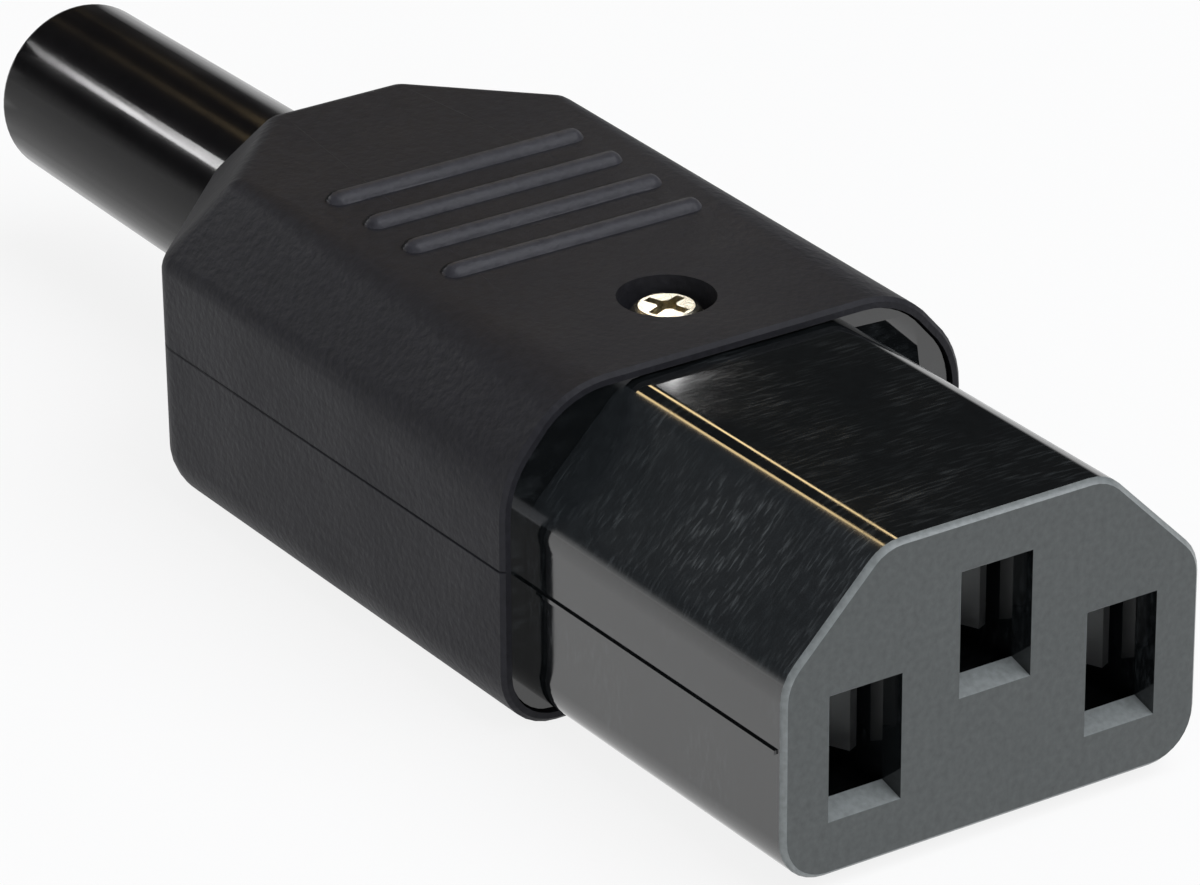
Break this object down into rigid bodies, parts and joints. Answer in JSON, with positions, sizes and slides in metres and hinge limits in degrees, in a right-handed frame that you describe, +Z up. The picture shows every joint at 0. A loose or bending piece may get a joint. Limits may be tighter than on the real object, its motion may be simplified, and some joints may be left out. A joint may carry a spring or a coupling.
{
  "type": "c13 power connector",
  "caption": "Rewireable C13 power connector: glossy contact nose with line, neutral and earth slots in a matte clamshell with grip ribs, a case screw and a cord sleeve.",
  "frame": {"origin": "on the engagement face, midway between the two line contacts", "axes": "+X out of the engagement face towards the inlet, +Y right seen from the front, +Z up with the earth contact above the line contacts"},
  "size_m": [0.0796, 0.0256, 0.0172],
  "materials": {
    "gloss_black_insert": "glossy moulded thermoset",
    "matte_black_shell": "finely textured nylon moulding",
    "contact_brass": "bright rolled strip",
    "terminal_brass": "machined bar",
    "zinc_steel": "zinc plated",
    "nickel_steel": "bright nickel plated",
    "clamp_plastic": "moulded nylon",
    "black_sleeve": "semi-gloss soft PVC"
  },
  "bodies": {
    "root": {"nose_insert": "gloss_black_insert", "upper_shell": "matte_black_shell", "lower_shell": "matte_black_shell", "contact_left": "contact_brass", "contact_right": "contact_brass", "contact_earth": "contact_brass", "terminal_left": "terminal_brass", "terminal_right": "terminal_brass", "terminal_earth": "terminal_brass", "terminal_screw_left": "zinc_steel", "terminal_screw_right": "zinc_steel", "terminal_screw_earth": "zinc_steel", "case_screw": "nickel_steel", "case_nut": "zinc_steel", "cord_clamp": "clamp_plastic", "cord_clamp_screws": "zinc_steel", "cord_sleeve": "black_sleeve"}
  },
  "joints": []
}
